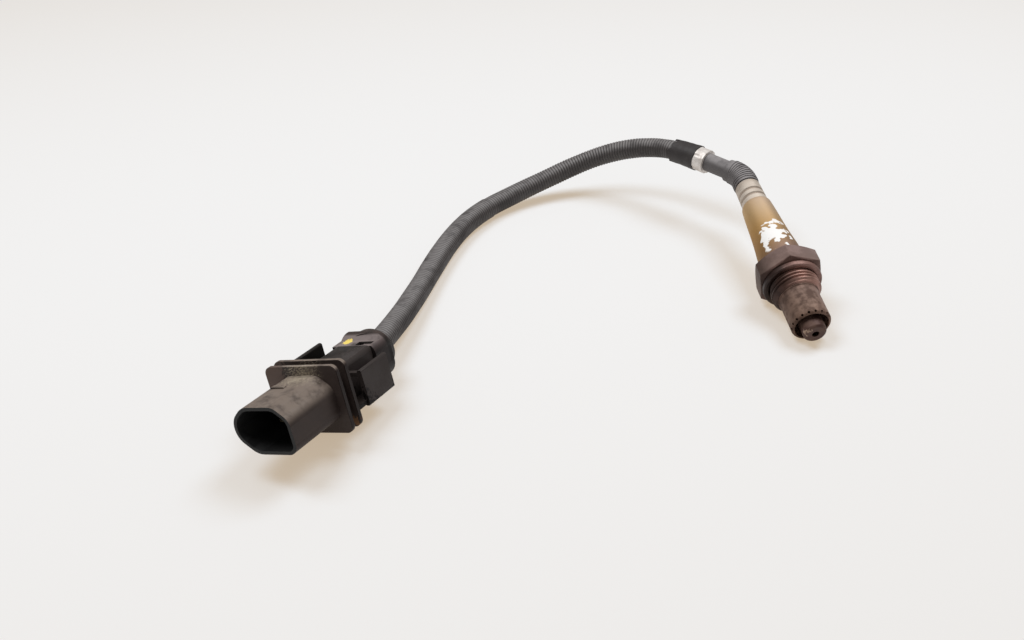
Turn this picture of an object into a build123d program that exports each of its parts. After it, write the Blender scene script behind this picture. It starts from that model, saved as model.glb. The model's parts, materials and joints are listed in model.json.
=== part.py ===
"""Wideband exhaust oxygen sensor: threaded sensing head, flexible hose and six-way plug.

The sensor lies on a level surface, Z = 0. Its nose points to -Y and dips until the hexagon and
the protection tube both touch the surface. The origin is under the middle of the head.
Lengths are millimetres. Along the head a "station" is the distance from the ring's seat,
positive towards the nose. In the plug a "depth" is the distance behind the front flange.
"""
import math
import os

from build123d import *

# ------------------------------------------------------------------ driving dimensions
# Place of the ring's seat over the surface, which centres the head's own box on the origin
seat_place = (0.4, -24.7)

# Hexagon body
hex_flats = 22.0
hex_length = 7.5
hex_roll = 12.7
thread_diameter = 18.0
shank_length = 8.2
shank_chamfer = 0.9
relief_diameter = 17.0
relief_length = 2.6
spigot_diameter = 14.4
spigot_length = 5.0
element_bore = 11.8
nose_bore = 7.6
bore_step_station = 3.4

# Sealing ring
ring_outer_diameter = 21.6
ring_thickness = 2.4
ring_play = 0.15
ring_corner = 0.7

# Protection tubes
tube_diameter = 14.3
tube_wall = 0.7
tube_end_station = 22.3
tube_shoulder_round = 1.0
tube_collar_diameter = 14.9
tube_collar_length = 0.4
tube_collar_slope = 0.3
tube_mouth_diameter = 12.2
gas_hole_diameter = 0.9
gas_hole_count = 18
gas_hole_lean = 0.5
inner_tube_diameter = 8.4
inner_tube_wall = 0.5
inner_tube_end_station = 26.3
inner_tube_round = 1.2
nose_hole_diameter = 2.6

# Sensing element and its packing
element_width = 4.2
element_thickness = 1.3
element_tip_station = 21.0
element_rear_station = -33.0
packing_play = 0.15
lower_insulator_length = 4.6
powder_seal_length = 3.0
upper_insulator_length = 7.4
packing_gap = 0.1

# Protective sleeve behind the hexagon
sleeve_base_diameter = 16.2
sleeve_base_length = 5.6
sleeve_cone_length = 4.6
sleeve_diameter = 13.4
sleeve_rear_diameter = 11.8
sleeve_rear_station = -41.6
sleeve_rear_round = 1.2
sleeve_lip = 0.2
sleeve_mouth_length = 2.4
sleeve_wall = 0.7
sleeve_seat_gap = 0.1

# Contacts between the element and the leads
holder_diameter = 9.6
holder_front_station = -23.0
holder_length = 14.0
upper_contact_count = 3
lower_contact_count = 2
spring_pitch = 1.5
spring_width = 0.9
spring_thickness = 0.3
spring_length = 14.6
spring_inset = 1.0
lead_diameter = 1.4
lead_circle_diameter = 4.2

# Crimped rear sleeve with its grommet and membrane
crimp_overlap = 2.2
crimp_length = 13.8
crimp_front_diameter = 10.6
crimp_rear_diameter = 9.8
crimp_wall = 0.5
crimp_groove_depth = 0.4
crimp_groove_width = 1.4
crimp_groove_floor = 0.56
crimp_groove_runs = (3.2, 6.4)
membrane_length = 3.0
membrane_thickness = 0.25
grommet_inset = 0.8
rubber_play = 0.1

# Ribbed boot and the smooth sleeve behind it
boot_spigot_length = 2.4
boot_neck_diameter = 8.8
boot_neck_length = 0.8
boot_bend_run = 7.9
boot_diameter = 9.8
boot_exit_diameter = 9.0
boot_exit_run = 6.4
boot_bend_radius = 12.0
boot_bore = 6.6
boot_rib_count = 9
boot_rib_height = 0.3
boot_rib_width = 0.7
boot_plain_length = 2.4
tail_diameter = 7.4
tail_wall = 0.7

# Hose and what is fitted over its end
hose_diameter = 8.6
band_width = 5.4
band_thickness = 0.4
band_play = 0.15
wrap_run_past_bend = 6.0
wrap_gap = 0.3
wrap_wide_diameter = 10.4
wrap_narrow_diameter = 9.6

# Plug: place and attitude
plug_origin = (-172.0, -71.7, 14.9)
plug_yaw = 55.35
plug_pitch = -7.9
plug_roll = -17.3

# Plug: socket, flanges and rear body
socket_length = 22.0
socket_half_width = 10.7
socket_top = 8.2
socket_bottom = -7.0
socket_wall = 1.1
socket_floor = 1.5
socket_corner = 4.6
socket_key_corner = 6.0
socket_foot_corner = 3.0
socket_top_half = 5.8
socket_shoulder_drop = 4.2
socket_foot_bevel = 2.0
socket_key_half = 4.5
socket_key_rise = 5.2
bump_length = 5.2
bump_width = 0.8
bump_aside = -2.2
bump_rear_distance = 7.6
bump_run = 1.6
flange_width = 27.7
flange_height = 22.4
flange_thickness = 1.3
flange_pitch = 4.3
flange_corner = 2.4
neck_width = 22.6
neck_height = 16.8
body_width = 14.4
body_top = 6.4
body_bottom = -7.4
body_end_depth = 27.0
body_wall = 1.3
body_edge_round = 1.6
rail_outer_width = 26.2
rail_thickness = 1.7
rail_front_depth = 11.8
rail_end_depth = 26.2
rail_left_top = 8.2
rail_right_top = 4.2
rail_bottom = -7.8
rail_web = 1.4
rail_bridge_length = 1.8
rail_corner = 0.6
rail_rib_margin = 2.8

# Plug: contacts, seals and cap
pin_columns = 3
pin_rows = 2
pin_pitch = 4.0
pin_row_pitch = 4.4
pin_width = 1.5
pin_thickness = 0.8
pin_reach = 9.5
pin_tail_depth = 15.0
fit_gap = 0.15
cut_overrun = 1.0
carrier_end_depth = 13.0
carrier_half_height = 3.9
lock_corner = 0.4
resistor_width = 5.6
resistor_length = 7.0
resistor_corner = 0.3
seal_front_depth = 19.0
plug_lead_diameter = 1.5
plug_lead_gather = 0.42
plug_lead_straight = 0.8
plug_lead_bend_radius = 2.0
cap_end_depth = 38.5
cap_width = 16.8
cap_top = 8.0
cap_bottom = -7.8
cap_rim_diameter = 15.2
cap_rim_length = 2.6
cap_low_top = 6.1
cap_ramp_depth = 32.4
cap_ramp_length = 2.8
cap_left_round = 1.6
cap_right_round = 5.0
cap_foot_round = 5.5
cap_wall = 1.2
latch_depth = 29.6
latch_length = 3.0
latch_sink = 0.8
hose_entry_depth = 33.0
hose_end_clearance = 1.3
collar_length = 2.6
collar_wall = 1.0

# Route of the hose between the sensor's tail and the plug, on its centreline
tail_end = (-9.6, 48.7, 26.4)
first_hose_run = 12.5
bend_share = 0.45
hose_route = [
    (-24.5, 68.6, 25.2),
    (-35.0, 76.5, 22.1),
    (-46.7, 81.1, 17.7),
    (-59.2, 81.9, 12.9),
    (-72.6, 79.1, 8.6),
    (-86.8, 73.2, 5.8),
    (-100.4, 63.9, 4.8),
    (-111.6, 50.7, 4.5),
    (-120.6, 33.8, 4.4),
    (-128.2, 15.5, 4.4),
    (-135.7, -3.6, 5.2),
    (-143.2, -22.9, 7.4),
]

# ------------------------------------------------------------------ frames
# The head dips until the hexagon's lowest corner and the tube's shoulder are both on the surface.
hex_corner_radius = hex_flats / 2 / math.cos(math.pi / 6)
hex_chamfer_length = (hex_corner_radius - hex_flats / 2) * math.tan(math.pi / 6)
hex_rest_radius = hex_corner_radius * math.cos(math.radians(hex_roll))
shoulder_station = tube_end_station - tube_shoulder_round
shoulder_radius = tube_diameter / 2 - tube_shoulder_round
rest_run = shoulder_station + hex_chamfer_length
rest_drop = hex_rest_radius - shoulder_radius
head_dip = math.acos(tube_shoulder_round / math.hypot(rest_run, rest_drop)) - math.atan2(
    rest_run, rest_drop
)
seat_height = hex_rest_radius * math.cos(head_dip) - hex_chamfer_length * math.sin(head_dip)

nose = Vector(0, -math.cos(head_dip), -math.sin(head_dip))
seat = Vector(*seat_place, seat_height)
head = Plane(origin=seat, x_dir=(1, 0, 0), z_dir=nose)
head_section = Plane(origin=seat, x_dir=nose, z_dir=(-1, 0, 0))
head_axis = Axis(seat, nose)

yaw, pitch = math.radians(plug_yaw), math.radians(plug_pitch)
plug_rear = Vector(
    math.cos(yaw) * math.cos(pitch), math.sin(yaw) * math.cos(pitch), math.sin(pitch)
)
plug_side = Vector(math.sin(yaw), -math.cos(yaw), 0).rotate(Axis((0, 0, 0), plug_rear), plug_roll)
plug = Plane(origin=plug_origin, x_dir=plug_side, z_dir=plug_rear * -1)
plug_profile = Plane(origin=plug_origin, x_dir=plug_rear, z_dir=plug_side)


def station(distance):
    """Point on the head's axis at a station."""
    return seat + nose * distance


def plug_point(x, y, depth):
    """Point in the plug's frame: across, up and behind the front flange."""
    return plug.from_local_coords(Vector(x, y, -depth))


def turned(*points):
    """Half section of a turned piece of the head, from (station, radius) points."""
    with BuildSketch(head_section) as half:
        with BuildLine():
            Polyline(*points, close=True)
        make_face()
    return half.sketch


def rounded_box(width, bottom, top, corner, depth):
    """Rounded rectangle across the plug at a depth."""
    with BuildSketch(plug.offset(-depth)) as outline:
        with Locations((0, (top + bottom) / 2)):
            RectangleRounded(width, top - bottom, corner)
    return outline.sketch


def socket_outline(inset, depth):
    """Keyed outline of the socket: one long lower bevel, and rounder corners on that side."""
    across = socket_half_width
    with BuildSketch(plug.offset(-depth)) as outline:
        with BuildLine():
            Polyline(
                (-socket_top_half, socket_top),
                (socket_top_half, socket_top),
                (across, socket_top - socket_shoulder_drop),
                (across, socket_bottom + socket_foot_bevel),
                (across - socket_foot_bevel, socket_bottom),
                (-socket_key_half, socket_bottom),
                (-across, socket_bottom + socket_key_rise),
                (-across, socket_top - socket_shoulder_drop),
                close=True,
            )
        make_face()
        fillet(outline.vertices().sort_by(Axis.X)[-4:].sort_by(Axis.Y)[-2:], radius=socket_corner)
        fillet(outline.vertices().sort_by(Axis.Y)[:3].sort_by(Axis.X)[-2:], radius=socket_foot_corner)
        fillet(outline.vertices().sort_by(Axis.X)[:4], radius=socket_key_corner)
        if inset:
            offset(amount=-inset, mode=Mode.REPLACE)
    return outline.sketch


def cap_outline(depth):
    """Outline of the rear cap: round at its foot and rounder on the side of the latch."""
    with BuildSketch(plug.offset(-depth)) as outline:
        with Locations((0, (cap_bottom + cap_top) / 2)):
            Rectangle(cap_width, cap_top - cap_bottom)
        fillet(outline.vertices().sort_by(Axis.Y)[:2], radius=cap_foot_round)
        fillet(outline.vertices().sort_by(Axis.Y)[-2:].sort_by(Axis.X)[:1], radius=cap_left_round)
        fillet(outline.vertices().sort_by(Axis.Y)[-2:].sort_by(Axis.X)[-1:], radius=cap_right_round)
    return outline.sketch


def finish(part, name):
    """Label a finished piece and write it."""
    part.label = name
    export_step(part, f"parts/{name}.step")


os.makedirs("parts", exist_ok=True)

# ------------------------------------------------------------------ hexagon body
nose_bore_radius = nose_bore / 2
element_bore_radius = element_bore / 2
spigot_end = -hex_length - spigot_length

with BuildPart() as sensor_body:
    with BuildSketch(head.offset(-hex_length)):
        RegularPolygon(radius=hex_corner_radius, side_count=6, rotation=90 + hex_roll)
    extrude(amount=hex_length)
    revolve(
        turned(
            (0, 0),
            (0, hex_flats / 2),
            (-hex_chamfer_length, hex_corner_radius),
            (hex_chamfer_length - hex_length, hex_corner_radius),
            (-hex_length, hex_flats / 2),
            (-hex_length, 0),
        ),
        axis=head_axis,
        mode=Mode.INTERSECT,
    )
    revolve(
        turned(
            (spigot_end, 0),
            (shank_length, 0),
            (shank_length, thread_diameter / 2 - shank_chamfer),
            (shank_length - shank_chamfer, thread_diameter / 2),
            (relief_length, thread_diameter / 2),
            (relief_length, relief_diameter / 2),
            (-hex_length / 2, relief_diameter / 2),
            (-hex_length / 2, spigot_diameter / 2),
            (spigot_end, spigot_diameter / 2),
        ),
        axis=head_axis,
    )
    revolve(
        turned(
            (spigot_end, 0),
            (shank_length, 0),
            (shank_length, nose_bore_radius),
            (bore_step_station, nose_bore_radius),
            (bore_step_station, element_bore_radius),
            (spigot_end, element_bore_radius),
        ),
        axis=head_axis,
        mode=Mode.SUBTRACT,
    )
finish(sensor_body.part, "sensor_body")

# ------------------------------------------------------------------ sealing ring
ring_inner_radius = relief_diameter / 2 + ring_play
ring_width = ring_outer_diameter / 2 - ring_inner_radius

with BuildPart() as sealing_ring:
    with BuildSketch(head_section):
        with Locations((ring_thickness / 2, ring_inner_radius + ring_width / 2)):
            RectangleRounded(ring_thickness, ring_width, ring_corner)
    revolve(axis=head_axis)
finish(sealing_ring.part, "sealing_ring")

# ------------------------------------------------------------------ protection tubes
tube_radius = tube_diameter / 2
tube_bore_radius = tube_radius - tube_wall
gas_hole_reach = 2 * tube_shoulder_round

with BuildPart() as outer_protection_tube:
    with BuildSketch(head_section):
        with BuildLine():
            Polyline(
                (shoulder_station, tube_radius),
                (shank_length + tube_collar_length + tube_collar_slope, tube_radius),
                (shank_length + tube_collar_length, tube_collar_diameter / 2),
                (shank_length, tube_collar_diameter / 2),
                (shank_length, tube_bore_radius),
                (shoulder_station, tube_bore_radius),
            )
            inner_round = CenterArc(
                (shoulder_station, shoulder_radius), tube_shoulder_round - tube_wall, 90, -90
            )
            Polyline(
                inner_round @ 1,
                (tube_end_station - tube_wall, tube_mouth_diameter / 2),
                (tube_end_station, tube_mouth_diameter / 2),
                (tube_end_station, shoulder_radius),
            )
            CenterArc((shoulder_station, shoulder_radius), tube_shoulder_round, 0, 90)
        make_face()
    revolve(axis=head_axis)
    for index in range(gas_hole_count):
        around = 2 * math.pi * (index + 0.5) / gas_hole_count
        outward = head.x_dir * math.cos(around) + head.y_dir * math.sin(around)
        drill = (outward + nose * gas_hole_lean).normalized()
        entry = station(shoulder_station) + outward * shoulder_radius
        with BuildSketch(Plane(origin=entry, z_dir=drill)):
            Circle(gas_hole_diameter / 2)
        extrude(amount=gas_hole_reach, both=True, mode=Mode.SUBTRACT)
finish(outer_protection_tube.part, "outer_protection_tube")

inner_radius = inner_tube_diameter / 2
inner_flange_radius = tube_bore_radius - packing_play
inner_round_station = inner_tube_end_station - inner_tube_round

with BuildPart() as inner_protection_tube:
    with BuildSketch(head_section):
        with BuildLine():
            round_centre = (inner_round_station, inner_radius - inner_tube_round)
            Polyline(
                (inner_round_station, inner_radius),
                (shank_length + inner_tube_wall, inner_radius),
                (shank_length + inner_tube_wall, inner_flange_radius),
                (shank_length, inner_flange_radius),
                (shank_length, nose_bore_radius),
                (shank_length + inner_tube_wall, nose_bore_radius),
                (inner_round_station, inner_radius - inner_tube_wall),
            )
            inside = CenterArc(round_centre, inner_tube_round - inner_tube_wall, 90, -90)
            Polyline(
                inside @ 1,
                (inner_tube_end_station - inner_tube_wall, nose_hole_diameter / 2),
                (inner_tube_end_station, nose_hole_diameter / 2),
                (inner_tube_end_station, inner_radius - inner_tube_round),
            )
            CenterArc(round_centre, inner_tube_round, 0, 90)
        make_face()
    revolve(axis=head_axis)
finish(inner_protection_tube.part, "inner_protection_tube")

# ------------------------------------------------------------------ element and packing
with BuildPart() as ceramic_element:
    with BuildSketch(head.offset(element_rear_station)):
        Rectangle(element_width, element_thickness)
    extrude(amount=element_tip_station - element_rear_station)
finish(ceramic_element.part, "ceramic_element")

packing_radius = element_bore_radius - packing_play
slot_width = element_width + 2 * packing_play
slot_thickness = element_thickness + 2 * packing_play
packing_fronts = [bore_step_station]
for length in (lower_insulator_length, powder_seal_length):
    packing_fronts.append(packing_fronts[-1] - length - packing_gap)

with BuildPart() as lower_insulator:
    with BuildSketch(head.offset(packing_fronts[0] - lower_insulator_length)):
        Circle(packing_radius)
        Rectangle(slot_width, slot_thickness, mode=Mode.SUBTRACT)
    extrude(amount=lower_insulator_length)
finish(lower_insulator.part, "lower_insulator")

with BuildPart() as powder_seal:
    with BuildSketch(head.offset(packing_fronts[1] - powder_seal_length)):
        Circle(packing_radius)
        Rectangle(slot_width, slot_thickness, mode=Mode.SUBTRACT)
    extrude(amount=powder_seal_length)
finish(powder_seal.part, "powder_seal")

with BuildPart() as upper_insulator:
    with BuildSketch(head.offset(packing_fronts[2] - upper_insulator_length)):
        Circle(packing_radius)
        Rectangle(slot_width, slot_thickness, mode=Mode.SUBTRACT)
    extrude(amount=upper_insulator_length)
finish(upper_insulator.part, "upper_insulator")

# ------------------------------------------------------------------ protective sleeve
sleeve_front = -hex_length - sleeve_seat_gap
sleeve_cone_front = sleeve_front - sleeve_base_length
sleeve_cone_rear = sleeve_cone_front - sleeve_cone_length
sleeve_base_radius = sleeve_base_diameter / 2
sleeve_radius = sleeve_diameter / 2
sleeve_rear_radius = sleeve_rear_diameter / 2
crimp_front_radius = crimp_front_diameter / 2
sleeve_mouth_radius = crimp_front_radius + packing_play

with BuildPart() as protective_sleeve:
    revolve(
        turned(
            (sleeve_front, sleeve_base_radius),
            (sleeve_cone_front, sleeve_base_radius),
            (sleeve_cone_rear, sleeve_radius),
            (sleeve_rear_station + sleeve_rear_round, sleeve_rear_radius),
            (sleeve_rear_station, sleeve_rear_radius - sleeve_lip),
            (sleeve_rear_station, sleeve_mouth_radius),
            (sleeve_rear_station + sleeve_mouth_length, sleeve_mouth_radius),
            (sleeve_cone_rear, sleeve_radius - sleeve_wall),
            (sleeve_cone_front, spigot_diameter / 2 + packing_play),
            (sleeve_front, spigot_diameter / 2 + packing_play),
        ),
        axis=head_axis,
    )
finish(protective_sleeve.part, "protective_sleeve")

# ------------------------------------------------------------------ contacts and leads
holder_rear = holder_front_station - holder_length
spring_front = holder_front_station - spring_inset
spring_rear = spring_front - spring_length
spring_offset = (element_thickness + spring_thickness) / 2 + packing_gap
lead_front = spring_rear - packing_gap
lead_count = upper_contact_count + lower_contact_count
lead_places = PolarLocations(lead_circle_diameter / 2, lead_count, start_angle=90)

holder_slot_thickness = element_thickness + 2 * (spring_thickness + 2 * packing_gap)

with BuildPart() as contact_holder:
    with BuildSketch(head.offset(holder_rear)):
        Circle(holder_diameter / 2)
        Rectangle(slot_width, holder_slot_thickness, mode=Mode.SUBTRACT)
    extrude(amount=holder_length)
finish(contact_holder.part, "contact_holder")

with BuildPart() as contact_springs:
    with BuildSketch(head.offset(spring_rear)):
        for side, count in ((1, upper_contact_count), (-1, lower_contact_count)):
            with Locations((0, side * spring_offset)):
                with GridLocations(spring_pitch, 1, count, 1):
                    Rectangle(spring_width, spring_thickness)
    extrude(amount=spring_length)
finish(contact_springs.part, "contact_springs")

# ------------------------------------------------------------------ crimped rear sleeve
crimp_front_station = sleeve_rear_station + crimp_overlap
crimp_end_station = crimp_front_station - crimp_length
grommet_front_station = sleeve_rear_station - grommet_inset
grommet_end_station = crimp_end_station + boot_spigot_length + rubber_play
crimp_rear_radius = crimp_rear_diameter / 2
crimp_taper = (crimp_front_radius - crimp_rear_radius) / (crimp_front_station - crimp_end_station)


def crimp_radius(at_station):
    """Outer radius of the crimped sleeve before its grooves are rolled in."""
    return crimp_rear_radius + crimp_taper * (at_station - crimp_end_station)


groove_steps = (
    (crimp_groove_width / 2, 0),
    (crimp_groove_floor / 2, crimp_groove_depth),
    (-crimp_groove_floor / 2, crimp_groove_depth),
    (-crimp_groove_width / 2, 0),
)
outer_line = [(crimp_front_station, crimp_front_radius)]
bore_line = [(crimp_front_station, crimp_front_radius - crimp_wall)]
for run in crimp_groove_runs:
    for shift, sink in groove_steps:
        place = sleeve_rear_station - run + shift
        radius = crimp_radius(place) - sink
        outer_line.append((place, radius))
        bore_line.append((place, radius - crimp_wall))
outer_line.append((crimp_end_station, crimp_rear_radius))
bore_line.append((crimp_end_station, crimp_rear_radius - crimp_wall))

with BuildPart() as crimp_sleeve:
    revolve(turned(*outer_line, *reversed(bore_line)), axis=head_axis)
finish(crimp_sleeve.part, "crimp_sleeve")

grommet_radius = crimp_rear_radius - crimp_wall - crimp_groove_depth - rubber_play
membrane_radius = crimp_radius(grommet_front_station) - crimp_wall - packing_play

with BuildPart() as vent_membrane:
    with BuildSketch(head.offset(grommet_front_station + packing_gap)):
        Circle(membrane_radius)
        Circle(membrane_radius - membrane_thickness, mode=Mode.SUBTRACT)
    extrude(amount=membrane_length - packing_gap)
finish(vent_membrane.part, "vent_membrane")

with BuildPart() as cable_grommet:
    with BuildSketch(head.offset(grommet_end_station)):
        Circle(grommet_radius)
        with lead_places:
            Circle(lead_diameter / 2 + rubber_play, mode=Mode.SUBTRACT)
    extrude(amount=grommet_front_station - grommet_end_station)
finish(cable_grommet.part, "cable_grommet")

# ------------------------------------------------------------------ ribbed boot and tail
boot_seat_station = crimp_end_station - rubber_play
boot_bend = station(boot_seat_station - boot_bend_run)
tail_direction = (Vector(*tail_end) - boot_bend).normalized()
boot_exit = boot_bend + tail_direction * boot_exit_run
tail_length = (Vector(*tail_end) - boot_exit).length
boot_spigot_radius = crimp_rear_radius - crimp_wall - rubber_play

with BuildLine() as boot_path:
    FilletPolyline(station(boot_seat_station), boot_bend, boot_exit, radius=boot_bend_radius)
boot_wire = boot_path.wires()[0]
boot_rib_pitch = (boot_wire.length - 2 * boot_plain_length) / (boot_rib_count - 1)

with BuildPart() as cable_boot:
    with BuildSketch(head.offset(boot_seat_station)):
        Circle(boot_diameter / 2)
    with BuildSketch(Plane(origin=boot_exit, z_dir=tail_direction)):
        Circle(boot_exit_diameter / 2)
    sweep(path=boot_wire, multisection=True)
    with BuildSketch(head.offset(boot_seat_station)):
        Circle(boot_diameter / 2)
        Circle(boot_neck_diameter / 2, mode=Mode.SUBTRACT)
    extrude(amount=-boot_neck_length, mode=Mode.SUBTRACT)
    with BuildSketch(head.offset(boot_seat_station)):
        Circle(boot_spigot_radius)
    extrude(amount=boot_spigot_length)
    for index in range(boot_rib_count):
        share = (boot_plain_length + index * boot_rib_pitch) / boot_wire.length
        rib_plane = Plane(origin=boot_wire @ share, z_dir=boot_wire % share)
        rib_radius = (boot_diameter + (boot_exit_diameter - boot_diameter) * share) / 2
        with BuildSketch(rib_plane):
            Circle(rib_radius + boot_rib_height)
        extrude(amount=boot_rib_width / 2, both=True)
    with BuildSketch(head.offset(boot_seat_station)):
        Circle(boot_bore / 2)
    sweep(path=boot_wire, mode=Mode.SUBTRACT)
    with BuildSketch(head.offset(boot_seat_station)):
        Circle(boot_bore / 2)
    extrude(amount=boot_spigot_length, mode=Mode.SUBTRACT)
finish(cable_boot.part, "cable_boot")

with BuildPart() as boot_tail:
    with BuildSketch(Plane(origin=boot_exit, z_dir=tail_direction)):
        Circle(tail_diameter / 2)
        Circle(tail_diameter / 2 - tail_wall, mode=Mode.SUBTRACT)
    extrude(amount=tail_length)
finish(boot_tail.part, "boot_tail")

with BuildPart() as sensor_leads:
    for place in lead_places.local_locations:
        aside = head.x_dir * place.position.X + head.y_dir * place.position.Y
        begin = station(lead_front) + aside
        with BuildLine() as lead_path:
            FilletPolyline(
                begin,
                boot_bend + aside,
                boot_bend + aside + tail_direction * (boot_exit_run + tail_length),
                radius=boot_bend_radius,
            )
        with BuildSketch(Plane(origin=begin, z_dir=nose * -1)):
            Circle(lead_diameter / 2)
        sweep(path=lead_path.wires()[0])
    tail_face = Plane(origin=Vector(*tail_end), z_dir=tail_direction)
    split(bisect_by=tail_face, keep=Keep.BOTTOM)
finish(sensor_leads.part, "sensor_leads")

# ------------------------------------------------------------------ hose
hose_entry = plug_point(0, 0, hose_entry_depth)
hose_start = Vector(*tail_end)
route = [hose_start, hose_start + tail_direction * first_hose_run]
route += [Vector(*point) for point in hose_route] + [hose_entry]
bend_radii = []
for before, corner, after in zip(route, route[1:], route[2:]):
    run_in, run_out = corner - before, after - corner
    turn = run_in.get_angle(run_out)
    shorter = min(run_in.length, run_out.length)
    bend_radii.append(bend_share * shorter / math.tan(math.radians(turn) / 2))
print("hose radii:", [round(radius, 1) for radius in bend_radii])

with BuildLine() as hose_path:
    FilletPolyline(*route, radius=bend_radii)
hose_wire = hose_path.wires()[0]

with BuildPart() as hose:
    with BuildSketch(Plane(origin=hose_start, z_dir=tail_direction)):
        Circle(hose_diameter / 2)
    sweep(path=hose_wire)
print(
    "hose length", round(hose_wire.length, 1),
    "volume share", round(hose.part.volume / (math.pi * hose_diameter**2 / 4 * hose_wire.length), 4),
)
finish(hose.part, "hose")

band_bore_radius = max(hose_diameter, tail_diameter) / 2 + band_play
band_start = hose_start - tail_direction * (band_width / 2)

with BuildPart() as marking_band:
    with BuildSketch(Plane(origin=band_start, z_dir=tail_direction)):
        Circle(band_bore_radius + band_thickness)
        Circle(band_bore_radius, mode=Mode.SUBTRACT)
    extrude(amount=band_width)
finish(marking_band.part, "marking_band")

wrap_start = hose_start + tail_direction * (band_width / 2 + wrap_gap)
wrap_direction = (route[2] - route[1]).normalized()
wrap_end = route[1] + wrap_direction * wrap_run_past_bend
wrap_plane = Plane(origin=wrap_start, z_dir=tail_direction)

with BuildLine() as wrap_path:
    FilletPolyline(wrap_start, route[1], wrap_end, radius=bend_radii[0])
wrap_wire = wrap_path.wires()[0]

with BuildPart() as hose_end_wrap:
    with BuildSketch(wrap_plane):
        Circle(wrap_wide_diameter / 2)
    with BuildSketch(Plane(origin=wrap_end, z_dir=wrap_direction)):
        Circle(wrap_narrow_diameter / 2)
    sweep(path=wrap_wire, multisection=True)
    with BuildSketch(wrap_plane):
        Circle(hose_diameter / 2 + band_play)
    sweep(path=wrap_wire, mode=Mode.SUBTRACT)
finish(hose_end_wrap.part, "hose_end_wrap")

# ------------------------------------------------------------------ plug housing
body_half = body_width / 2
rail_half = rail_outer_width / 2
rail_centre = rail_half - rail_thickness / 2
rail_length = rail_end_depth - rail_front_depth
rail_reach = rail_half - rail_thickness / 2 - body_half + body_wall / 2
web_centre = (rail_centre + body_half - body_wall / 2) / 2
flange_back = flange_pitch + flange_thickness
cavity_width = body_width - 2 * body_wall
cavity_bottom = body_bottom + body_wall
cavity_top = body_top - body_wall
carrier_width = cavity_width - 2 * fit_gap
window_half_height = carrier_half_height + fit_gap
window_length = body_end_depth + socket_floor + cut_overrun

with BuildPart() as plug_housing:
    extrude(to_extrude=socket_outline(0, 0), amount=socket_length)
    for depth in (flange_thickness, flange_back):
        outline = rounded_box(
            flange_width, -flange_height / 2, flange_height / 2, flange_corner, depth
        )
        extrude(to_extrude=outline, amount=flange_thickness)
    neck = rounded_box(neck_width, -neck_height / 2, neck_height / 2, flange_corner, flange_pitch)
    extrude(to_extrude=neck, amount=flange_pitch - flange_thickness)
    body = rounded_box(body_width, body_bottom, body_top, body_edge_round, body_end_depth)
    extrude(to_extrude=body, amount=body_end_depth - flange_back)
    for side, rail_top in ((-1, rail_left_top), (1, rail_right_top)):
        with BuildSketch(plug.offset(-rail_end_depth)):
            with Locations((side * rail_centre, (rail_top + rail_bottom) / 2)):
                RectangleRounded(rail_thickness, rail_top - rail_bottom, rail_corner)
        extrude(amount=rail_length)
        with BuildSketch(plug.offset(-rail_end_depth)):
            with Locations((side * web_centre, rail_bottom + rail_web)):
                Rectangle(rail_reach, rail_web)
        extrude(amount=rail_end_depth - flange_back)
        with BuildSketch(plug.offset(-rail_end_depth)):
            with Locations((side * web_centre, (rail_bottom + rail_right_top) / 2)):
                Rectangle(rail_reach, rail_right_top - rail_bottom - 2 * rail_rib_margin)
        extrude(amount=rail_web)
    bridge_front_depth = rail_front_depth + rail_bridge_length
    with BuildSketch(plug.offset(-bridge_front_depth)):
        with Locations((web_centre, rail_right_top - rail_web)):
            Rectangle(rail_reach, rail_web)
    extrude(amount=rail_bridge_length)
    with BuildSketch(plug.offset(bump_rear_distance)):
        with Locations((bump_aside, socket_top)):
            SlotOverall(bump_length, bump_width)
    extrude(amount=bump_run)
    mouth = socket_outline(socket_wall, -socket_floor)
    extrude(to_extrude=mouth, amount=socket_length, mode=Mode.SUBTRACT)
    cavity = rounded_box(
        cavity_width, cavity_bottom, cavity_top, body_edge_round / 2, body_end_depth
    )
    extrude(to_extrude=cavity, amount=body_end_depth - flange_thickness, mode=Mode.SUBTRACT)
    window = rounded_box(
        cavity_width, -window_half_height, window_half_height, body_edge_round / 2, body_end_depth
    )
    extrude(to_extrude=window, amount=window_length, mode=Mode.SUBTRACT)
finish(plug_housing.part, "plug_housing")

# ------------------------------------------------------------------ contacts of the plug
pin_places = GridLocations(pin_pitch, pin_row_pitch, pin_columns, pin_rows)

with BuildPart() as contact_carrier:
    carrier = rounded_box(
        carrier_width,
        -carrier_half_height,
        carrier_half_height,
        body_edge_round / 2,
        carrier_end_depth,
    )
    extrude(to_extrude=carrier, amount=carrier_end_depth + socket_floor)
    with BuildSketch(plug.offset(-carrier_end_depth)):
        with pin_places:
            Rectangle(pin_width + fit_gap, pin_thickness + fit_gap)
    extrude(amount=carrier_end_depth + socket_floor, mode=Mode.SUBTRACT)
finish(contact_carrier.part, "contact_carrier")

with BuildPart() as contact_pins:
    with BuildSketch(plug.offset(-pin_tail_depth)):
        with pin_places:
            Rectangle(pin_width, pin_thickness)
    extrude(amount=pin_tail_depth + pin_reach)
finish(contact_pins.part, "contact_pins")

lock_top = -window_half_height - fit_gap
lock_bottom = cavity_bottom + fit_gap

with BuildPart() as pin_lock:
    lock = rounded_box(carrier_width, lock_bottom, lock_top, lock_corner, carrier_end_depth)
    extrude(to_extrude=lock, amount=carrier_end_depth - flange_thickness - fit_gap)
finish(pin_lock.part, "pin_lock")

resistor_bottom = window_half_height + fit_gap
resistor_top = cavity_top - fit_gap

with BuildPart() as trim_resistor:
    resistor = rounded_box(
        resistor_width, resistor_bottom, resistor_top, resistor_corner, carrier_end_depth
    )
    extrude(to_extrude=resistor, amount=resistor_length)
finish(trim_resistor.part, "trim_resistor")

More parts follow.
